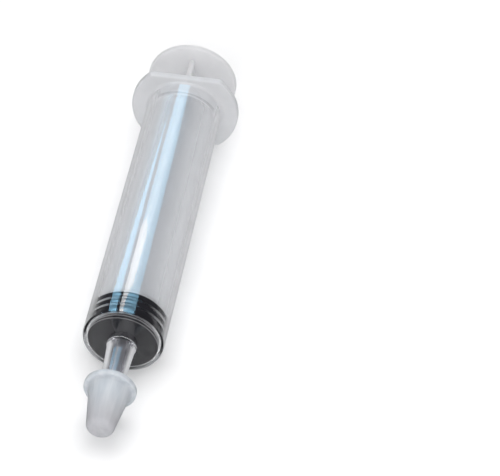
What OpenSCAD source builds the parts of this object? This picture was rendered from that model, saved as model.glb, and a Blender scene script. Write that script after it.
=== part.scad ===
// Oral medicine syringe with a push-on tip cap: barrel, stopper, plunger rod and cap.
// The syringe lies along Y with its tip towards -Y. The origin is under the middle of its
// length, on the surface that the thumb disc touches.

/* [Barrel] */
// Outer diameter of the barrel
barrel_d = 17; // [16.6:0.1:18]
// Diameter of the bore that the stopper slides in
bore_d = 15; // [14.6:0.1:15.4]
// Length of the barrel from its front rim to its open end
barrel_l = 76; // [60:1:100]
// Radius that rounds the barrel's front rim
shoulder_r = 1.2; // [0.5:0.1:1.5]
// Thickness of the front wall
front_wall = 1.1; // [0.8:0.1:1.6]
// How far the conical front wall stands out in front of the rim
front_rise = 1.2; // [0.4:0.1:1.6]
// Height of the bead inside the open end that keeps the stopper in
bead_h = 0.25; // [0.15:0.05:0.35]
// Distance of the bead from the open end
bead_inset = 4; // [3:0.5:6]

/* [Finger flange] */
// Diameter of the flange across its two wings
flange_d = 24.6; // [22:0.2:30]
// Distance between the flange's two flats
flange_flats = 18.6; // [17.6:0.2:21]
// Thickness of the flange
flange_t = 1.8; // [1.2:0.1:2.6]
// Radius of the fillet between the flange and the barrel
flange_fillet = 0.8; // [0.4:0.1:1.2]

/* [Nozzle] */
// Length of the nozzle in front of the barrel's rim
nozzle_l = 20; // [18:0.5:21]
// Diameter of the nozzle at its root
nozzle_root_d = 6; // [5.8:0.1:6.6]
// Diameter of the nozzle where the cap's rim sits
nozzle_seat_d = 4.6; // [4.4:0.1:4.8]
// Diameter of the nozzle at its tip
nozzle_tip_d = 4; // [3.8:0.1:4.2]
// Diameter of the hole through the nozzle
nozzle_bore_d = 2.2; // [1.6:0.1:2.6]
// Radius of the fillet round the nozzle's root
nozzle_fillet = 0.5; // [0.4:0.1:1.2]

/* [Stopper] */
// Gap in radius between the stopper's ribs and the bore
seal_gap = 0.05; // [0.02:0.01:0.1]
// Distance of the stopper's back face from the barrel's front rim, pushed fully in
stopper_back = 7.3; // [6.8:0.1:9]
// Number of sealing ribs round the stopper
rib_count = 3; // [2:1:3]
// Depth of the grooves between the sealing ribs
groove_depth = 0.4; // [0.3:0.05:0.8]
// Radius that rounds the stopper's front edge
stopper_edge_r = 0.5; // [0.3:0.1:0.6]

/* [Plunger rod] */
// Width of the crossed ribs of the rod
rod_w = 13.8; // [12:0.1:14]
// Thickness of the crossed ribs
rod_t = 1.3; // [1:0.1:2]
// Diameter of the thumb disc
thumb_d = 20.6; // [18.2:0.2:24]
// Thickness of the thumb disc
thumb_t = 1.5; // [1.2:0.1:2.5]
// Gap between the flange and the thumb disc, pushed fully in
thumb_gap = 8.2; // [4:0.2:14]
// Diameter of the rod's head, held in the stopper
head_d = 8.8; // [8:0.1:9.2]
// Diameter of the neck behind the head
neck_d = 6.4; // [5.6:0.1:6.8]

/* [Tip cap] */
// Diameter of the cap's rim
cap_rim_d = 10.8; // [10:0.2:12.4]
// Thickness of the cap's rim
cap_rim_t = 1.3; // [1:0.1:1.6]
// Diameter of the cap's body next to its rim
cap_body_d = 8.4; // [8:0.1:8.8]
// Diameter of the cap's body at its closed end
cap_end_d = 5.8; // [5.6:0.1:6.4]
// Length of the cap
cap_l = 11.8; // [11.4:0.1:14]
// Distance of the cap's rim from the barrel's front rim
cap_at = 12; // [11:0.5:13]

/* [Hidden] */
$fn = 96;

clear_gap = 0.15;   // end gaps between faces of parts that move on each other
edge_r = 0.4;       // rounds the outer edges of discs and rims
past = 1;           // how far a cutting shape runs past the face that it cuts
cap_round_r = 1.5;  // rounds the cap's closed end
cap_fillet = 0.6;   // fillet between the cap's rim and its body
fillet_sink = 0.12; // how deep the nozzle's fillet starts inside its tapering wall
groove_share = 0.26;    // part of the distance between two ribs that the groove takes
bead_run = 3 * bead_h;  // length of each of the bead's two slopes

barrel_r = barrel_d / 2;
bore_r = bore_d / 2;
flange_front = barrel_l - flange_t;
thumb_front = barrel_l + thumb_gap;
thumb_back = thumb_front + thumb_t;
cap_end = -cap_at - cap_l;
cap_rim_front = -cap_at - cap_rim_t;

nozzle_root_r = nozzle_root_d / 2;
nozzle_seat_r = nozzle_seat_d / 2;
nozzle_tip_r = nozzle_tip_d / 2;
nozzle_bore_r = nozzle_bore_d / 2;
rim_flat_r = barrel_r - shoulder_r;     // where the rounded rim meets the conical front wall

rib_r = bore_r - seal_gap;
groove_r = rib_r - groove_depth;
stopper_front = front_wall + clear_gap;
cone_slope = front_rise / rim_flat_r;   // slope of the front wall and of the stopper's face
ribs_front = stopper_front + stopper_edge_r;
rib_pitch = (stopper_back - ribs_front) / rib_count;
groove_w = rib_pitch * groove_share;

head_r = head_d / 2;
neck_r = neck_d / 2;
rod_gap = 0.05;     // running gap in radius between the rod's head and the stopper
head_l = 1.6;
neck_l = 1.5;
head_chamfer = 0.5;
neck_front = stopper_back - neck_l;
head_front = neck_front - head_l;
guide_r = 7;        // radius of the disc that backs the stopper
guide_t = 1.2;
guide_front = stopper_back + clear_gap;
guide_back = guide_front + guide_t;
rod_r = rod_w / 2;
middle = (thumb_back + cap_end) / 2;    // middle of the whole length

// Lays an upright shape along Y, with its middle over the origin and the thumb disc on the surface
module lay_down() {
    translate([0, -middle, thumb_d / 2]) rotate([-90, 0, 0]) children();
}

// Turns a half section round the axis and lays it down
module turned() {
    lay_down() rotate_extrude() children();
}

// Points on an arc of radius r about c, from the angle a0 to a1
function arc(c, r, a0, a1, steps = 8) =
    [for (i = [0:steps]) let (a = a0 + (a1 - a0) * i / steps) c + r * [cos(a), sin(a)]];

// Angle at which a line from p touches the outer side of a circle with centre c and radius r
function touch_angle(p, c, r) = let (v = p - c) atan2(v.y, v.x) - acos(r / norm(v));

// Half section of a disc from y0 to y1 with rounded outer edges
module disc_section(r, y0, y1, edge) {
    translate([0, y0]) square([r - edge, y1 - y0]);
    translate([0, y0 + edge]) square([r, y1 - y0 - 2 * edge]);
    for (y = [y0 + edge, y1 - edge]) translate([r - edge, y]) circle(edge);
}

// Half section of a fillet in the corner at (x, y), which opens towards +X and -Y
module fillet_section(x, y, r) {
    difference() {
        translate([x, y - r]) square([r, r]);
        translate([x + r, y - r]) circle(r);
    }
}

module nozzle_section() {
    polygon([
        [0, 0], [nozzle_root_r, 0], [nozzle_root_r, -front_rise],
        [nozzle_seat_r, -cap_at], [nozzle_tip_r, -nozzle_l + edge_r],
        [nozzle_tip_r - edge_r, -nozzle_l], [0, -nozzle_l]
    ]);
    // the fillet's far edge lies on the conical front wall
    fillet_y = -front_rise + cone_slope * (nozzle_root_r + nozzle_fillet);
    fillet_section(nozzle_root_r - fillet_sink, fillet_y, nozzle_fillet);
}

module barrel_outer_section() {
    translate([0, shoulder_r]) square([barrel_r, barrel_l - shoulder_r]);
    square([rim_flat_r, shoulder_r + past]);
    translate([rim_flat_r, shoulder_r]) circle(shoulder_r);
    polygon([[0, 0], [rim_flat_r, 0], [0, -front_rise]]);
    nozzle_section();
}

module bore_section() {
    bead_y = barrel_l - bead_inset;
    difference() {
        polygon([
            [0, front_wall - cone_slope * bore_r], [bore_r, front_wall],
            [bore_r, barrel_l - edge_r], [bore_r + edge_r, barrel_l],
            [bore_r + edge_r, barrel_l + past], [0, barrel_l + past]
        ]);
        // the bead slopes on both sides so that the stopper can be pushed past it
        polygon([
            [bore_r + past, bead_y - bead_run], [bore_r, bead_y - bead_run],
            [bore_r - bead_h, bead_y], [bore_r, bead_y + bead_run],
            [bore_r + past, bead_y + bead_run]
        ]);
    }
    translate([0, -nozzle_l - past]) square([nozzle_bore_r, nozzle_l + past + front_wall]);
}

// Flange and fillet. Their opening is wider than the bore and lies inside the barrel's wall.
module flange_section() {
    opening_r = (bore_r + edge_r + barrel_r) / 2;
    difference() {
        union() {
            disc_section(flange_d / 2, flange_front, barrel_l, edge_r);
            fillet_section(barrel_r, flange_front, flange_fillet);
        }
        translate([0, flange_front - past]) square([opening_r, flange_t + 2 * past]);
    }
}

module finger_flange() {
    intersection() {
        turned() flange_section();
        lay_down() translate([-flange_d, -flange_flats / 2, 0])
            cube([2 * flange_d, flange_flats, barrel_l + past]);
    }
}

module barrel() {
    color([0.86, 0.87, 0.89, 0.45]) union() {
        turned() difference() {
            barrel_outer_section();
            bore_section();
        }
        finger_flange();
    }
}

module stopper_section() {
    difference() {
        union() {
            translate([0, ribs_front]) square([rib_r, stopper_back - ribs_front]);
            translate([rib_r - stopper_edge_r, ribs_front]) circle(stopper_edge_r);
            polygon([
                [0, stopper_front - cone_slope * bore_r], [rib_r - stopper_edge_r, stopper_front],
                [rib_r - stopper_edge_r, stopper_back], [0, stopper_back]
            ]);
        }
        for (i = [1:rib_count - 1]) {
            y = ribs_front + i * rib_pitch;
            translate([groove_r, y - groove_w / 2]) square([groove_depth + past, groove_w]);
        }
        // pocket that the rod's head snaps into
        polygon([
            [0, head_front - rod_gap], [head_r - head_chamfer + rod_gap, head_front - rod_gap],
            [head_r + rod_gap, head_front + head_chamfer - rod_gap],
            [head_r + rod_gap, neck_front + rod_gap], [neck_r + rod_gap, neck_front + rod_gap],
            [neck_r + rod_gap, stopper_back + past], [0, stopper_back + past]
        ]);
    }
}

module stopper() {
    color([0.09, 0.09, 0.1]) turned() stopper_section();
}

module rod_head_section() {
    polygon([
        [0, head_front], [head_r - head_chamfer, head_front], [head_r, head_front + head_chamfer],
        [head_r, neck_front], [neck_r, neck_front], [neck_r, guide_back], [0, guide_back]
    ]);
}

// Two crossed ribs, from inside the guide disc to inside the thumb disc
module rod_ribs() {
    ribs_start = guide_back - guide_t / 2;
    ribs_end = thumb_back - thumb_t / 2;
    for (turn = [0, 90])
        rotate([0, 0, turn]) translate([-rod_r, -rod_t / 2, ribs_start])
            cube([rod_w, rod_t, ribs_end - ribs_start]);
}

module plunger_rod() {
    color([0.87, 0.88, 0.9, 0.6]) union() {
        turned() {
            rod_head_section();
            disc_section(guide_r, guide_front, guide_back, edge_r);
            disc_section(thumb_d / 2, thumb_front, thumb_back, edge_r);
        }
        lay_down() rod_ribs();
    }
}

module cap_outer_section() {
    rim_x = cap_rim_d / 2 - edge_r;
    fillet_at = [cap_body_d / 2 + cap_fillet, cap_rim_front - cap_fillet];
    body_top = fillet_at - [cap_fillet, 0];
    round_at = [cap_end_d / 2 - cap_round_r, cap_end + cap_round_r];
    polygon(concat(
        [[0, -cap_at]],
        arc([rim_x, -cap_at - edge_r], edge_r, 90, 0),
        arc([rim_x, cap_rim_front + edge_r], edge_r, 0, -90),
        arc(fillet_at, cap_fillet, 90, 180),
        arc(round_at, cap_round_r, touch_angle(body_top, round_at, cap_round_r), -90),
        [[0, cap_end]]
    ));
}

module cap_cavity_section() {
    cavity_end = -nozzle_l - 2 * clear_gap;
    tip_r = nozzle_tip_r + rod_gap;
    seat_r = nozzle_seat_r + rod_gap;
    polygon([
        [0, -cap_at + past], [seat_r + edge_r, -cap_at + past], [seat_r + edge_r, -cap_at],
        [seat_r, -cap_at - edge_r], [tip_r, -nozzle_l + edge_r], [tip_r, cavity_end], [0, cavity_end]
    ]);
}

module cap_section() {
    difference() {
        cap_outer_section();
        cap_cavity_section();
    }
}

module tip_cap() {
    color([0.8, 0.83, 0.86, 0.8]) turned() cap_section();
}

barrel();
stopper();
plunger_rod();
tip_cap();
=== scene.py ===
"""Looks of the oral syringe: finer meshes, plastics and rubber, light and camera.

Outlines are half sections in millimetres, as (radius, along) points: along is 0 at the barrel's
front rim, grows towards the thumb disc, and is negative on the nozzle and the cap.
"""
import math

import bmesh
import bpy
from mathutils import Matrix, Vector


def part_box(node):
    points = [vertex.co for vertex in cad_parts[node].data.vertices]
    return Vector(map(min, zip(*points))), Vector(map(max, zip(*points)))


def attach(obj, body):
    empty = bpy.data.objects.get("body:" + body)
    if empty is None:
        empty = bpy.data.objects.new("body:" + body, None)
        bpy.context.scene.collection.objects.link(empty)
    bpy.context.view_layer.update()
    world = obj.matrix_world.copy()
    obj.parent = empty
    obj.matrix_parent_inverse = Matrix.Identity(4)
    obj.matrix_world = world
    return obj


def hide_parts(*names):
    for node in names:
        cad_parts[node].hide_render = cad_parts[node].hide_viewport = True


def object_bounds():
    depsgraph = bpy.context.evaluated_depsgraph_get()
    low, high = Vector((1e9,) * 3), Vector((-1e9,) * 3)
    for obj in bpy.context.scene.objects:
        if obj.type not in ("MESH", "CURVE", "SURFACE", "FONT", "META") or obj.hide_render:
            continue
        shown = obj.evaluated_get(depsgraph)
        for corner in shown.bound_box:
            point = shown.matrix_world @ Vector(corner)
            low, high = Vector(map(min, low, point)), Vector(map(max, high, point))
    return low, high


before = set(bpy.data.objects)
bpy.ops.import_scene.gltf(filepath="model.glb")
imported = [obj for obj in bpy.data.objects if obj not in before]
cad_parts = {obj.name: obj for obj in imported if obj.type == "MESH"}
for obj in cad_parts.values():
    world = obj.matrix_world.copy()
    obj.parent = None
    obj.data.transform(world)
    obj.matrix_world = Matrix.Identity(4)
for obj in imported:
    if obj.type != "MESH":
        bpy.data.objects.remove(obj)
cad_low, cad_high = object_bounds()

# ---------------------------------------------------------------- sizes, in millimetres
MM = 0.001
SEGMENTS = 288          # faces round the axis
SHARP_DEGREES = 35      # edges that bend by more than this stay sharp
NOZZLE_L = 20.0

rod_low, rod_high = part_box("plunger_rod")
barrel_low, barrel_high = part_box("barrel")
_, stopper_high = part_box("stopper")
cap_low, cap_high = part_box("tip_cap")

AXIS_Z = (rod_low.z + rod_high.z) / 2
RIM_Y = barrel_low.y + NOZZLE_L * MM
MIDDLE = Vector(((cad_low.x + cad_high.x) / 2, (cad_low.y + cad_high.y) / 2, AXIS_Z))


def along(y):
    """Distance of a point of the frame from the barrel's front rim, in millimetres."""
    return (y - RIM_Y) / MM


def section_of(point):
    """The (radius, along) of a point of the frame."""
    return math.hypot(point.x, point.z - AXIS_Z) / MM, along(point.y)


BARREL_L = along(barrel_high.y)
BARREL_R = 8.5
BORE_R = 7.5
SHOULDER_R = 1.2        # rounding of the front rim
FRONT_RISE = 1.2        # how far the front wall's cone would stand out on the axis
FRONT_WALL = 1.1
FRONT_SLOPE = FRONT_RISE / (BARREL_R - SHOULDER_R)
CORNER_R = 0.3          # rounding where the bore meets the front wall
FLANGE_T = 1.8
FLANGE_R = (barrel_high.x - barrel_low.x) / 2 / MM
FLANGE_HALF = (barrel_high.z - barrel_low.z) / 2 / MM
FLANGE_CORNER = 0.25    # how softly the flange's wings turn into its flats
FLANGE_FILLET = 0.8
FLANGE_FRONT = BARREL_L - FLANGE_T
EDGE_R = 0.4            # rounding of rims and discs
BEAD_H = 0.25
BEAD_INSET = 4.0        # from the open end to the bead's top
BEAD_RUN = 1.6          # from the bead's top to its foot
FACE_SLACK = 0.02       # how far a face's middle may lie from the bore's radius

NOZZLE_ROOT_R = 3.0
NOZZLE_SEAT_R = 2.3     # at the cap's open end
NOZZLE_TIP_R = 2.0
NOZZLE_TIP_EDGE = 0.3
NOZZLE_FILLET = 0.5
HOLE_R = 1.1
HOLE_FLARE = 0.4        # chamfer between the hole and the bore
HOLE_CHAMFER = 0.15     # at the nozzle's tip

STOPPER_BACK = along(stopper_high.y)
STOPPER_FRONT = FRONT_WALL + 0.15
STOPPER_EDGE = 0.3
RIB_R = BORE_R + 0.01   # squeezed against the bore, so that the black shows right up to the wall
RIB_COUNT = 3
RIB_SOFT = 0.12         # rounding of the ribs' edges
FACE_T = 0.5            # of the stopper in front of its ribs
GROOVE_DEPTH = 0.4
GROOVE_SHARE = 0.26     # of the distance from rib to rib

HEAD_R = 4.4
HEAD_T = 1.6
HEAD_CHAMFER = 0.5
NECK_R = 3.2
NECK_L = 1.5
ROD_GAP = 0.05          # round the rod's head and neck
POCKET_CHAMFER = 0.15
GUIDE_R = 7.0
GUIDE_T = 1.2
GUIDE_FRONT = STOPPER_BACK + 0.15
GUIDE_BACK = GUIDE_FRONT + GUIDE_T
ROD_HALF = 6.9          # from the axis to a crossed rib's edge
ROD_RIB_T = 1.3
ROD_RIB_ROOT = 0.4      # fillet where the crossed ribs meet
ROD_RIB_STEPS = 24
THUMB_R = (rod_high.x - rod_low.x) / 2 / MM
THUMB_T = 1.5
THUMB_EDGE = 0.45
THUMB_BACK = along(rod_high.y)
THUMB_FRONT = THUMB_BACK - THUMB_T

CAP_AT = -along(cap_high.y)     # from the front rim to the cap's open end
CAP_END = along(cap_low.y)
CAP_RIM_R = (cap_high.x - cap_low.x) / 2 / MM
CAP_RIM_T = 1.3
CAP_BODY_R = 4.2
CAP_FILLET = 0.6        # between body and rim
CAP_END_R = 2.9
CAP_ROUND_R = 1.5
CAP_GAP = 0.03          # round the nozzle
CAP_END_GAP = 0.3       # in front of the nozzle's tip
CAP_FLARE = 0.4         # at the mouth of the cap's hole


# ---------------------------------------------------------------- mesh helpers
def arc(centre, radius, start, stop, steps):
    """Points on an arc, from the angle start to stop in degrees."""
    angles = [math.radians(start + (stop - start) * i / steps) for i in range(steps + 1)]
    return [(centre[0] + radius * math.cos(a), centre[1] + radius * math.sin(a)) for a in angles]


def line(a, b, steps):
    """Points after a, up to and including b, in equal steps."""
    return [tuple(a[k] + (b[k] - a[k]) * i / steps for k in (0, 1)) for i in range(1, steps + 1)]


def finish_mesh(name, bm):
    """Turns a bmesh into a smooth-shaded object with outward normals."""
    bmesh.ops.recalc_face_normals(bm, faces=bm.faces)
    mesh = bpy.data.meshes.new(name)
    bm.to_mesh(mesh)
    bm.free()
    mesh.shade_smooth()
    mesh.set_sharp_from_angle(angle=math.radians(SHARP_DEGREES))
    piece = bpy.data.objects.new(name, mesh)
    bpy.context.scene.collection.objects.link(piece)
    return piece


def settle_normals(piece):
    """Lets long faces keep their own normals, so that the roundings between them take the bend."""
    bpy.context.view_layer.objects.active = piece
    weighing = piece.modifiers.new("normals", "WEIGHTED_NORMAL")
    weighing.keep_sharp = True
    bpy.ops.object.modifier_apply(modifier=weighing.name)


def turned_point(radius, s, angle):
    """Where a section's point lies once it is turned by angle about the syringe's axis."""
    across = radius * math.sin(angle) * MM
    up = radius * math.cos(angle) * MM
    return Vector((across, RIM_Y + s * MM, AXIS_Z + up))


def lathe(name, outline, reach=None):
    """Turns an outline about the axis.

    The outline ends on the axis at both ends, or is a closed loop clear of it.
    reach(radius, angle) gives the radius to use at that angle, for rims that are not round.
    """
    bm = bmesh.new()
    angles = [2 * math.pi * i / SEGMENTS for i in range(SEGMENTS)]
    rings = []
    for radius, s in outline:
        if radius == 0:
            rings.append([bm.verts.new(turned_point(0, s, 0))])
            continue
        reached = [reach(radius, a) if reach else radius for a in angles]
        rings.append([bm.verts.new(turned_point(r, s, a)) for r, a in zip(reached, angles)])
    is_loop = outline[0][0] > 0
    pairs = list(zip(rings, rings[1:])) + ([(rings[-1], rings[0])] if is_loop else [])
    for near, far in pairs:
        for i in range(SEGMENTS):
            j = (i + 1) % SEGMENTS
            corners = [near[i % len(near)], near[j % len(near)], far[j % len(far)], far[i % len(far)]]
            bm.faces.new(list(dict.fromkeys(corners)))
    return finish_mesh(name, bm)


def unite(piece, *others):
    """Joins closed pieces into one closed mesh."""
    bpy.context.view_layer.objects.active = piece
    for other in others:
        joining = piece.modifiers.new("join", "BOOLEAN")
        joining.operation = "UNION"
        joining.solver = "EXACT"
        joining.object = other
        bpy.ops.object.modifier_apply(modifier=joining.name)
        bpy.data.objects.remove(other)
    piece.data.set_sharp_from_angle(angle=math.radians(SHARP_DEGREES))


# ---------------------------------------------------------------- outlines of the pieces
def flange_rim(angle):
    """Distance of the flange's rim from the axis at an angle from straight up: wings and flats."""
    flat = FLANGE_HALF / max(abs(math.cos(angle)), 1e-6)
    blend = max(FLANGE_CORNER - abs(flat - FLANGE_R), 0) / FLANGE_CORNER
    return min(flat, FLANGE_R) - blend * blend * FLANGE_CORNER / 4


def flange_reach(radius, angle):
    """Draws the flange's faces in to its rim, and keeps the rounding of its edge."""
    if radius <= BARREL_R:
        return radius
    rim = flange_rim(angle)
    edge_start = FLANGE_R - EDGE_R
    if radius >= edge_start:
        return rim - (FLANGE_R - radius)
    return BARREL_R + (radius - BARREL_R) * (rim - EDGE_R - BARREL_R) / (edge_start - BARREL_R)


def barrel_outside():
    """Outline from the nozzle's tip, over the front wall and along the barrel, to the open end."""
    rim_r = BARREL_R - SHOULDER_R
    fillet_r = NOZZLE_ROOT_R + NOZZLE_FILLET
    fillet_s = FRONT_SLOPE * fillet_r - FRONT_RISE - NOZZLE_FILLET
    side_end = (NOZZLE_ROOT_R - 0.06, fillet_s - 0.1)       # just short of the fillet
    lean = math.degrees(math.atan((NOZZLE_ROOT_R - NOZZLE_SEAT_R) / (CAP_AT - FRONT_RISE)))
    tip = (NOZZLE_TIP_R - NOZZLE_TIP_EDGE, NOZZLE_TIP_EDGE - NOZZLE_L)
    outline = arc(tip, NOZZLE_TIP_EDGE, -90, 0, 5)
    outline += line(outline[-1], (NOZZLE_SEAT_R, -CAP_AT), 6)
    outline += line(outline[-1], side_end, 8)
    outline += arc((fillet_r, fillet_s), NOZZLE_FILLET, 180 - lean, 98, 9)
    outline += line(outline[-1], (rim_r - 0.3, -FRONT_SLOPE * 0.3), 6)
    outline += arc((rim_r, SHOULDER_R), SHOULDER_R, -84, 0, 14)
    fillet_front = FLANGE_FRONT - FLANGE_FILLET
    outline += line(outline[-1], (BARREL_R, fillet_front), 40)
    outline += arc((BARREL_R + FLANGE_FILLET, fillet_front), FLANGE_FILLET, 170, 90, 8)
    edge_r = FLANGE_R - EDGE_R
    outline += line(outline[-1], (edge_r, FLANGE_FRONT), 5)
    outline += arc((edge_r, FLANGE_FRONT + EDGE_R), EDGE_R, -80, 0, 6)
    return outline + arc((edge_r, BARREL_L - EDGE_R), EDGE_R, 0, 90, 6)


def barrel_inside():
    """Outline from the open end's mouth, over the bead and down the bore, to the hole in the tip."""
    outline = arc((BORE_R + EDGE_R, BARREL_L - EDGE_R), EDGE_R, 90, 180, 6)
    bead_steps = 8
    for i in range(-bead_steps, bead_steps + 1):
        height = BEAD_H * math.cos(math.pi / 2 * i / bead_steps) ** 2
        outline.append((BORE_R - height, BARREL_L - BEAD_INSET - BEAD_RUN * i / bead_steps))
    outline += line(outline[-1], (BORE_R, FRONT_WALL + CORNER_R), 40)
    outline += arc((BORE_R - CORNER_R, FRONT_WALL + 0.9 * CORNER_R), CORNER_R, -10, -80, 5)
    flare_s = FRONT_WALL - FRONT_SLOPE * (BORE_R - HOLE_R - HOLE_FLARE)
    outline += line(outline[-1], (HOLE_R + HOLE_FLARE, flare_s), 6)
    outline += line(outline[-1], (HOLE_R, flare_s - HOLE_FLARE), 2)
    outline += line(outline[-1], (HOLE_R, HOLE_CHAMFER - NOZZLE_L), 16)
    return outline + [(HOLE_R + HOLE_CHAMFER, -NOZZLE_L)]


def barrel_outline():
    """Closed outline of the barrel: outside, across its open end, and inside."""
    outside = barrel_outside()
    inside = barrel_inside()
    return outside + line(outside[-1], inside[0], 6)[:-1] + inside


def pocket_outline(start):
    """Outline of the stopper's pocket for the rod's head, from start on its back face to the axis."""
    neck_r = NECK_R + ROD_GAP
    head_r = HEAD_R + ROD_GAP
    step_s = STOPPER_BACK - NECK_L + ROD_GAP
    front = STOPPER_BACK - NECK_L - HEAD_T - ROD_GAP
    return line(start, (neck_r + POCKET_CHAMFER, STOPPER_BACK), 4) + [
        (neck_r, STOPPER_BACK - POCKET_CHAMFER),
        (neck_r, step_s),
        (head_r, step_s),
        (head_r, front + HEAD_CHAMFER),
        (head_r - HEAD_CHAMFER, front),
        (0, front),
    ]


def stopper_outline():
    """Outline of the rubber stopper: its pointed face, the ribs, and the pocket in its back."""
    ribs_front = STOPPER_FRONT + FACE_T
    pitch = (STOPPER_BACK - ribs_front) / RIB_COUNT
    half_groove = pitch * GROOVE_SHARE / 2
    rib_soft_r = RIB_R - RIB_SOFT
    groove_soft_r = RIB_R - GROOVE_DEPTH + RIB_SOFT
    edge_r = RIB_R - STOPPER_EDGE
    tip_r = 0.5
    outline = [
        (0, STOPPER_FRONT - FRONT_SLOPE * RIB_R + 0.05),
        (tip_r, STOPPER_FRONT - FRONT_SLOPE * (RIB_R - tip_r) + 0.03),
    ]
    outline += line(outline[-1], (edge_r - 0.1, STOPPER_FRONT - 0.03), 8)
    outline += arc((edge_r, STOPPER_FRONT + 0.9 * STOPPER_EDGE), STOPPER_EDGE, -75, 0, 7)
    for i in range(1, RIB_COUNT):
        near = ribs_front + i * pitch - half_groove
        far = ribs_front + i * pitch + half_groove
        outline += arc((rib_soft_r, near - RIB_SOFT), RIB_SOFT, 0, 90, 4)
        outline += arc((groove_soft_r, near + RIB_SOFT), RIB_SOFT, 270, 180, 4)
        outline += arc((groove_soft_r, far - RIB_SOFT), RIB_SOFT, 180, 90, 4)
        outline += arc((rib_soft_r, far + RIB_SOFT), RIB_SOFT, 270, 360, 4)
    outline += arc((edge_r, STOPPER_BACK - STOPPER_EDGE), STOPPER_EDGE, 0, 90, 5)
    return outline + pocket_outline(outline[-1])


def rod_front_outline():
    """Outline of the rod's head, neck and guide disc."""
    neck_front = STOPPER_BACK - NECK_L
    head_front = neck_front - HEAD_T
    edge_r = GUIDE_R - EDGE_R
    outline = [
        (0, head_front),
        (HEAD_R - HEAD_CHAMFER, head_front),
        (HEAD_R, head_front + HEAD_CHAMFER),
        (HEAD_R, neck_front),
        (NECK_R, neck_front),
        (NECK_R, GUIDE_FRONT),
    ]
    outline += line(outline[-1], (edge_r, GUIDE_FRONT), 3)
    outline += arc((edge_r, GUIDE_FRONT + EDGE_R), EDGE_R, -75, 0, 5)
    outline += arc((edge_r, GUIDE_BACK - EDGE_R), EDGE_R, 0, 90, 5)
    return outline + [(0, GUIDE_BACK)]


def thumb_outline():
    """Outline of the thumb disc."""
    edge_r = THUMB_R - THUMB_EDGE
    outline = [(0, THUMB_FRONT), (1, THUMB_FRONT)]
    outline += line(outline[-1], (edge_r, THUMB_FRONT), 5)
    outline += arc((edge_r, THUMB_FRONT + THUMB_EDGE), THUMB_EDGE, -75, 0, 6)
    outline += arc((edge_r, THUMB_BACK - THUMB_EDGE), THUMB_EDGE, 0, 90, 6)
    return outline + [(1, THUMB_BACK), (0, THUMB_BACK)]


def cap_outline():
    """Outline of the tip cap: round its closed end, up the body and the rim, then into the hole."""
    rim_front = -CAP_AT - CAP_RIM_T
    body = (CAP_BODY_R, rim_front - CAP_FILLET)
    round_at = (CAP_END_R - CAP_ROUND_R, CAP_END + CAP_ROUND_R)
    away = (body[0] - round_at[0], body[1] - round_at[1])
    touch = math.degrees(math.atan2(away[1], away[0]) - math.acos(CAP_ROUND_R / math.hypot(*away)))
    outline = [(0, CAP_END), (0.6, CAP_END)]
    outline += arc(round_at, CAP_ROUND_R, -85, touch, 14)
    outline += line(outline[-1], body, 14)
    outline += arc((CAP_BODY_R + CAP_FILLET, rim_front - CAP_FILLET), CAP_FILLET, 170, 90, 8)
    edge_r = CAP_RIM_R - EDGE_R
    outline += line(outline[-1], (edge_r, rim_front), 3)
    outline += arc((edge_r, rim_front + EDGE_R), EDGE_R, -75, 0, 6)
    outline += arc((edge_r, -CAP_AT - EDGE_R), EDGE_R, 0, 90, 6)
    seat_r = NOZZLE_SEAT_R + CAP_GAP
    tip_r = NOZZLE_TIP_R + CAP_GAP
    outline += line(outline[-1], (seat_r + CAP_FLARE, -CAP_AT), 3)
    outline += [(seat_r, -CAP_AT - CAP_FLARE)]
    outline += line(outline[-1], (tip_r, -NOZZLE_L), 8)
    return outline + [(tip_r, -NOZZLE_L - CAP_END_GAP), (0, -NOZZLE_L - CAP_END_GAP)]


def rib_cross(name):
    """The rod's two crossed ribs with rounded edges and a small fillet where they meet."""
    half_t = ROD_RIB_T / 2
    tip = ROD_HALF - half_t
    inner = half_t + ROD_RIB_ROOT
    quarter = arc((tip, 0), half_t, 0, 90, 6)
    quarter += line(quarter[-1], (inner, half_t), 4)
    quarter += arc((inner, inner), ROD_RIB_ROOT, 270, 180, 4)
    quarter += line(quarter[-1], (half_t, tip), 4)
    quarter += arc((0, tip), half_t, 0, 90, 6)[1:-1]
    loop = []
    for turn in range(4):
        c = round(math.cos(turn * math.pi / 2))
        s = round(math.sin(turn * math.pi / 2))
        loop += [(c * x - s * z, s * x + c * z) for x, z in quarter]
    start = GUIDE_FRONT + GUIDE_T / 2
    stop = THUMB_FRONT + THUMB_T / 2
    bm = bmesh.new()
    rings = []
    for k in range(ROD_RIB_STEPS + 1):
        y = RIM_Y + (start + (stop - start) * k / ROD_RIB_STEPS) * MM
        rings.append([bm.verts.new((x * MM, y, AXIS_Z + z * MM)) for x, z in loop])
    for near, far in zip(rings, rings[1:]):
        for i in range(len(loop)):
            j = (i + 1) % len(loop)
            bm.faces.new((near[i], near[j], far[j], far[i]))
    bm.faces.new(rings[0])
    bm.faces.new(rings[-1])
    return finish_mesh(name, bm)


# ---------------------------------------------------------------- materials
CLEAR = (0.945, 0.95, 0.96)
NOZZLE_SHADE_TINT = (0.34, 0.335, 0.38)         # the nozzle's darkened glass tint: painted shade for the dark shadow and stopper seen through its middle
FLOW_DARK = (0.98, 0.986, 1.005)    # the haze's tint in the darker and the lighter flow lines
FLOW_LIGHT = (1.02, 1.026, 1.045)
HAZE_AHEAD = 0.45                   # share of the haze's light that goes on through
PLASTIC_IOR = 1.49


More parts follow.
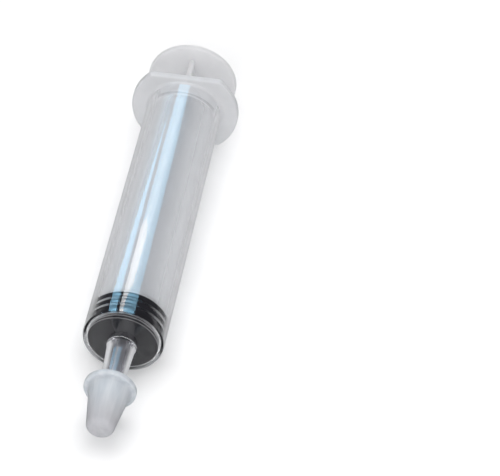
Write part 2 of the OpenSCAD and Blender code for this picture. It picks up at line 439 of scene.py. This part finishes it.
class Shader:
    """A material's node tree, with short calls for the nodes used here."""

    def __init__(self, name):
        self.material = bpy.data.materials.new(name)
        self.material.use_nodes = True
        self.tree = self.material.node_tree
        self.tree.nodes.clear()
        self.output = self.tree.nodes.new("ShaderNodeOutputMaterial")

    def node(self, kind, **inputs):
        """Adds a node. Each input is a plain value or another node's output."""
        made = self.tree.nodes.new("ShaderNode" + kind)
        for key, value in inputs.items():
            socket = made.inputs[key.replace("_", " ")]
            if isinstance(value, bpy.types.NodeSocket):
                self.tree.links.new(value, socket)
            else:
                socket.default_value = value
        return made

    def grain(self, scale, detail, stretch=1.0):
        """Noise in the frame's own metres, drawn out along the syringe by stretch."""
        coords = self.node("TexCoord").outputs["Object"]
        spread = self.node("Mapping", Vector=coords, Scale=(1, 1 / stretch, 1)).outputs["Vector"]
        noise = self.node("TexNoise", Vector=spread, Scale=scale, Detail=detail, Roughness=0.55)
        return noise.outputs["Fac"]

    def between(self, value, low, high):
        """Spreads noise, which mostly lies from a quarter to three quarters, over low to high."""
        spread = self.node(
            "MapRange", Value=value, From_Min=0.25, From_Max=0.75, To_Min=low, To_Max=high,
        )
        return spread.outputs["Result"]

    def tint(self, value, low, high):
        """A colour between low and high, picked by value."""
        ramp = self.node("ValToRGB", Fac=value)
        for stop, place, colour in zip(ramp.color_ramp.elements, (0.3, 0.7), (low, high)):
            stop.position = place
            stop.color = (*colour, 1)
        return ramp.outputs["Color"]

    def bump(self, height, depth_mm):
        """A normal from a height of depth_mm millimetres, at half strength."""
        bumped = self.node("Bump", Height=height, Distance=depth_mm * MM, Strength=0.5)
        return bumped.outputs["Normal"]

    def mix(self, share, first, second):
        """Mixes two shaders, with share of the second."""
        made = self.tree.nodes.new("ShaderNodeMixShader")
        if isinstance(share, bpy.types.NodeSocket):
            self.tree.links.new(share, made.inputs[0])
        else:
            made.inputs[0].default_value = share
        self.tree.links.new(first.outputs[0], made.inputs[1])
        self.tree.links.new(second.outputs[0], made.inputs[2])
        return made

    def haze(self, colour, normal):
        """The milky part of a clear plastic: light scattered back and light scattered through."""
        back = self.node("BsdfDiffuse", Color=colour, Normal=normal)
        ahead = self.node("BsdfTranslucent", Color=colour, Normal=normal)
        return self.mix(HAZE_AHEAD, back, ahead)

    def lets_light_in(self, surface, tint):
        """Lets shadow and soft bounce light straight through, so that what is inside is lit."""
        path = self.node("LightPath")
        through = self.tree.nodes.new("ShaderNodeMath")
        through.operation = "MAXIMUM"
        self.tree.links.new(path.outputs["Is Shadow Ray"], through.inputs[0])
        self.tree.links.new(path.outputs["Is Diffuse Ray"], through.inputs[1])
        return self.mix(through.outputs[0], surface, self.node("BsdfTransparent", Color=(*tint, 1)))

    def done(self, surface):
        """Sends the surface to the output, and gives the finished material."""
        self.tree.links.new(surface.outputs[0], self.output.inputs["Surface"])
        return self.material


def clear_plastic(name, colour, roughness, whiteness, haze_high, haze_start, haze_stop):
    """Polypropylene of the barrel: clear, with faint flow lines and a haze.

    The haze grows to haze_high as the surface turns away from the eye, from haze_start to haze_stop.
    """
    s = Shader(name)
    flow = s.grain(200, detail=1, stretch=20)
    fine = s.grain(2600, detail=2, stretch=2)
    normal = s.bump(flow, 0.0003)
    glass = s.node(
        "BsdfPrincipled", Transmission_Weight=1.0, IOR=PLASTIC_IOR, Base_Color=(*colour, 1),
        Roughness=s.between(fine, roughness * 0.75, roughness * 1.25), Normal=normal,
    )
    low = [whiteness * channel for channel in FLOW_DARK]
    high = [whiteness * channel for channel in FLOW_LIGHT]
    milk = s.haze(s.tint(flow, low, high), normal)
    facing = s.node("LayerWeight", Blend=0.5).outputs["Facing"]
    share = s.node(
        "MapRange", Value=facing, From_Min=haze_start, From_Max=haze_stop, To_Min=0, To_Max=haze_high,
    )
    mixed = s.mix(share.outputs["Result"], glass, milk)
    return s.done(s.lets_light_in(mixed, (0.95, 0.955, 0.96)))


def frosted_plastic():
    """The same plastic with the satin surface of the finger flange."""
    s = Shader("frosted_polypropylene")
    cloud = s.grain(420, detail=1)
    fine = s.grain(5200, detail=2)
    normal = s.bump(cloud, 0.003)
    glass = s.node(
        "BsdfPrincipled", Transmission_Weight=1.0, IOR=PLASTIC_IOR, Base_Color=(0.86, 0.87, 0.89, 1),
        Roughness=s.between(fine, 0.30, 0.36), Normal=normal,
    )
    milk = s.haze(s.tint(cloud, (0.71, 0.715, 0.73), (0.75, 0.755, 0.77)), normal)
    mixed = s.mix(s.between(cloud, 0.71, 0.76), glass, milk)
    return s.done(s.lets_light_in(mixed, (0.88, 0.885, 0.89)))


def rod_plastic():
    """Natural polypropylene of the rod: milky, satin, with soft clouds in it."""
    s = Shader("rod_polypropylene")
    cloud = s.grain(190, detail=4, stretch=3)
    fine = s.grain(4200, detail=2)
    colour = s.tint(cloud, (0.79, 0.79, 0.80), (0.85, 0.85, 0.86))
    normal = s.bump(fine, 0.005)
    milk = s.node(
        "BsdfPrincipled", Base_Color=colour, Roughness=s.between(fine, 0.4, 0.55),
        Specular_IOR_Level=0.15, Subsurface_Weight=0.7, Subsurface_Scale=0.004,
        Subsurface_Radius=(1, 1, 1), Normal=normal,
    )
    through = s.node("BsdfTranslucent", Color=colour, Normal=normal)
    return s.done(s.mix(s.between(cloud, 0.57, 0.63), milk, through))


def black_rubber(name, roughness, gloss):
    """Black rubber with a faint mould grain and patches of more and less shine."""
    s = Shader(name)
    grain = s.grain(3200, detail=4)
    patch = s.grain(350, detail=3)
    return s.done(s.node(
        "BsdfPrincipled", Base_Color=s.tint(patch, (0.0035, 0.003, 0.005), (0.008, 0.007, 0.010)),
        Roughness=s.between(patch, roughness * 0.7, roughness * 1.3), Specular_IOR_Level=gloss,
        Normal=s.bump(grain, roughness * 0.01),
    ))


def cap_plastic():
    """Milky soft polyethylene of the cap, with flow streaks, and painted shading along it: lighter
    towards its open end, darker towards its closed end.
    """
    s = Shader("cap_polyethylene")
    streak = s.grain(700, detail=2, stretch=14)
    fine = s.grain(3000, detail=2)
    y = s.node("SeparateXYZ", Vector=s.node("TexCoord").outputs["Object"]).outputs["Y"]
    length = cap_high.y - cap_low.y
    # painted shading: the colour blends from a darker closed end to a lighter open end
    shade_along_cap = s.node(
        "MapRange", Value=y, From_Min=cap_low.y + 0.2 * length, From_Max=cap_low.y + 0.65 * length,
    )
    shaded_end_colour = s.tint(streak, (0.46, 0.465, 0.49), (0.56, 0.56, 0.585))
    lit_rim_colour = s.tint(streak, (0.52, 0.555, 0.595), (0.67, 0.695, 0.725))
    blend = s.node("MixRGB", Fac=shade_along_cap.outputs["Result"], Color1=shaded_end_colour, Color2=lit_rim_colour)
    colour = blend.outputs["Color"]
    normal = s.bump(streak, 0.006)
    milk = s.node(
        "BsdfPrincipled", Base_Color=colour, Roughness=s.between(fine, 0.3, 0.42),
        Specular_IOR_Level=0.4, Subsurface_Weight=0.6, Subsurface_Scale=0.0012,
        Subsurface_Radius=(1, 1, 1), Normal=normal,
    )
    through = s.node("BsdfTranslucent", Color=colour, Normal=normal)
    return s.done(s.mix(s.between(streak, 0.2, 0.3), milk, through))


# ---------------------------------------------------------------- the syringe
def place(piece, body, node, slot, *materials):
    """Gives a piece its materials, and lets it stand for a CAD node on that node's body."""
    settle_normals(piece)
    for material in materials:
        piece.data.materials.append(material)
    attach(piece, body)
    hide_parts(node)


def barrel_materials():
    """The barrel's materials by zone, with that of its plain wall first."""
    return {
        "wall": clear_plastic(
            "clear_polypropylene", CLEAR, roughness=0.03, whiteness=0.80,
            haze_high=0.85, haze_start=0.55, haze_stop=0.75,
        ),
        "bore": clear_plastic(
            "clear_polypropylene_bore", CLEAR, roughness=0.2, whiteness=0.82,
            haze_high=0.85, haze_start=0.14, haze_stop=0.24,
        ),
        # the nozzle's glass tint is darkened: painted shade for its dark middle
        "nozzle": clear_plastic(
            "clear_polypropylene_nozzle", NOZZLE_SHADE_TINT, roughness=0.06, whiteness=0.82,
            haze_high=0.97, haze_start=0.34, haze_stop=0.5,
        ),
        "frosted": frosted_plastic(),
        "corner": clear_plastic(
            "clear_polypropylene_corner", CLEAR, roughness=0.12, whiteness=0.80,
            haze_high=0.4, haze_start=0.0, haze_stop=0.1,
        ),
        "hole": clear_plastic(
            "clear_polypropylene_cored", CLEAR, roughness=0.4, whiteness=0.80,
            haze_high=0.12, haze_start=0.0, haze_stop=0.1,
        ),
    }


def barrel_zone(radius, s):
    """The zone of the barrel's face whose middle lies at that radius and distance from the rim."""
    in_bore = radius < BORE_R + FACE_SLACK and s > FRONT_WALL - FRONT_RISE
    bead_start = BARREL_L - BEAD_INSET - BEAD_RUN - 0.1
    if in_bore and radius > BORE_R - 0.9 * CORNER_R and s < FRONT_WALL + 0.2:
        return "corner"
    if in_bore and FRONT_WALL + 1 < s < bead_start:
        return "bore"
    if radius < HOLE_R + 0.2:
        return "hole"
    if s < -FRONT_RISE - NOZZLE_FILLET / 2:
        return "nozzle"
    if s > FLANGE_FRONT - FLANGE_FILLET or in_bore and s > bead_start:
        return "frosted"
    return "wall"


def build_barrel():
    piece = lathe("barrel_body", barrel_outline(), flange_reach)
    materials = barrel_materials()
    place(piece, "barrel", "barrel", "clear_polypropylene", *materials.values())
    zones = list(materials)
    for face in piece.data.polygons:
        face.material_index = zones.index(barrel_zone(*section_of(face.center)))


def build_stopper():
    piece = lathe("stopper_rubber", stopper_outline())
    moulded = black_rubber("black_rubber", roughness=0.4, gloss=0.1)
    oiled = black_rubber("black_rubber_oiled", roughness=0.1, gloss=1.0)
    place(piece, "stopper", "stopper", "black_rubber", moulded, oiled)
    for face in piece.data.polygons:
        radius, _ = section_of(face.center)
        face.material_index = int(radius > BORE_R - FACE_SLACK)


def build_rod():
    piece = lathe("rod_body", rod_front_outline())
    unite(piece, rib_cross("ribs"), lathe("thumb", thumb_outline()))
    place(piece, "rod", "plunger_rod", "rod_polypropylene", rod_plastic())


def build_cap():
    piece = lathe("cap_body", cap_outline())
    place(piece, "cap", "tip_cap", "cap_polyethylene", cap_plastic())


# ---------------------------------------------------------------- stage, light and camera
ROLL = math.radians(6.4)    # the windows lean over by this much, seen along the syringe
WINDOW_DISTANCE = 0.9
WHITE = (1.0, 1.0, 1.0)
WARM = (1.0, 0.995, 0.99)
SKY = (0.38, 0.74, 1.0)
PALE_SKY = (0.7, 0.87, 1.0)

CAMERA_AZIMUTH = 6.84       # degrees
CAMERA_ELEVATION = 44.01
CAMERA_TILT = 2.55
CAMERA_DISTANCE = 0.462
CAMERA_LENS = 153.97
AIM = Vector((0.02147, 0.00043, -0.0029))   # right, up and back from the syringe's middle


def leaning(backward):
    """Direction up and backward along the syringe, leaning over by ROLL."""
    return Vector((-math.sin(ROLL), backward, math.cos(ROLL))).normalized()


def build_floor():
    """A pale floor that touches the thumb disc and the barrel's front rim, as a table does."""
    bm = bmesh.new()
    bmesh.ops.create_grid(bm, x_segments=1, y_segments=1, size=3)
    floor = finish_mesh("floor", bm)
    front = Vector((0, RIM_Y + SHOULDER_R * MM, AXIS_Z - BARREL_R * MM))
    back = Vector((0, rod_high.y - THUMB_T / 2 * MM, rod_low.z))
    tilt = math.atan2(back.z - front.z, back.y - front.y)
    floor.rotation_euler = (tilt, 0, 0)
    floor.location = back - Vector((0, 0, 0.05 * MM))
    s = Shader("floor_paper")
    grain = s.grain(60, detail=4)
    paper = s.node("BsdfDiffuse", Color=s.tint(grain, (0.86, 0.86, 0.865), (0.89, 0.89, 0.895)))
    floor.data.materials.append(s.done(paper))
    floor.visible_glossy = False


def area_light(name, direction, distance, size, energy, colour):
    """A soft panel in that direction from the syringe's middle, facing it, with no mirror image."""
    data = bpy.data.lights.new(name, "AREA")
    data.shape = "RECTANGLE"
    data.size, data.size_y = size
    data.energy = energy
    data.color = colour
    lamp = bpy.data.objects.new(name, data)
    bpy.context.scene.collection.objects.link(lamp)
    away = Vector(direction).normalized()
    turn = away.to_track_quat("Z", "Y").to_matrix()
    lamp.matrix_world = Matrix.Translation(MIDDLE + away * distance) @ turn.to_4x4()
    lamp.visible_glossy = False
    lamp.visible_transmission = False


def window(name, direction, distance, corners, colour, strength):
    """A bright panel in that direction from the syringe's middle, for its mirror image.

    Corners are (across, down) in metres.
    """
    side = Vector((math.cos(ROLL), 0, math.sin(ROLL)))
    slope = direction.cross(side)
    centre = MIDDLE + direction * distance
    bm = bmesh.new()
    bm.faces.new([bm.verts.new(centre + side * across + slope * down) for across, down in corners])
    panel = finish_mesh(name, bm)
    s = Shader(name)
    panel.data.materials.append(s.done(s.node("Emission", Color=(*colour, 1), Strength=strength)))
    panel.visible_diffuse = False


def build_world():
    """Dim bluish light from all round."""
    world = bpy.data.worlds.new("studio")
    bpy.context.scene.world = world
    world.use_nodes = True
    background = world.node_tree.nodes["Background"]
    background.inputs["Color"].default_value = (0.95, 0.97, 1.0, 1)
    background.inputs["Strength"].default_value = 0.1


def build_windows():
    """The windows whose mirror images make the stripes on the barrel and the shine on the cap."""
    barrel_mirror = leaning(1.02)
    cap_mirror = leaning(0.58)
    wide = (
        (-0.19, 0.13), (-0.19, -0.22), (0.34, -0.22), (0.34, -0.013),
        (0.2, 0.07), (0.12, 0.09), (0.1, 0.13),
    )
    left = ((-0.3, 0.115), (-0.6, 0.115), (-0.6, -0.22), (-0.3, -0.22))
    glare = (
        (-0.19, 0.005), (-0.19, -0.22), (-0.055, -0.22),
        (-0.055, -0.06), (0.045, -0.05), (0.045, -0.02),
    )
    high = ((-1.2, -0.15), (-1.05, -0.15), (-1.05, 0.15), (-1.2, 0.15))
    window("window_wide", barrel_mirror, WINDOW_DISTANCE, wide, SKY, 4.3)
    window("window_left", barrel_mirror, WINDOW_DISTANCE, left, SKY, 5.0)
    window("window_glare", barrel_mirror, WINDOW_DISTANCE - 0.01, glare, WHITE, 6.2)
    window("window_high", cap_mirror, WINDOW_DISTANCE, high, PALE_SKY, 10)


def build_light():
    build_world()
    area_light("overhead", (0.03, 0.15, 1.0), 1.2, (2.0, 2.0), 26, WHITE)
    area_light("front", (0.02, -1.0, 0.55), 1.3, (1.2, 0.9), 13.5, WARM)
    build_windows()


def build_camera():
    """The camera looks from in front of the tip, with the syringe left of the picture's middle."""
    azimuth = math.radians(CAMERA_AZIMUTH)
    elevation = math.radians(CAMERA_ELEVATION)
    data = bpy.data.cameras.new("camera")
    data.sensor_width = 36
    data.lens = CAMERA_LENS
    camera = bpy.data.objects.new("camera", data)
    bpy.context.scene.collection.objects.link(camera)
    bpy.context.scene.camera = camera
    level = math.cos(elevation)
    back = Vector((math.sin(azimuth) * level, -math.cos(azimuth) * level, math.sin(elevation)))
    tilt = Matrix.Rotation(math.radians(CAMERA_TILT), 3, "Z")
    turn = back.to_track_quat("Z", "Y").to_matrix() @ tilt
    aim = MIDDLE + turn.col[0] * AIM.x + turn.col[1] * AIM.y + back * AIM.z
    camera.matrix_world = Matrix.Translation(aim + back * CAMERA_DISTANCE) @ turn.to_4x4()


build_camera()
build_floor()
build_light()
build_barrel()
build_stopper()
build_rod()
build_cap()

bpy.context.scene.view_settings.view_transform = "Standard"
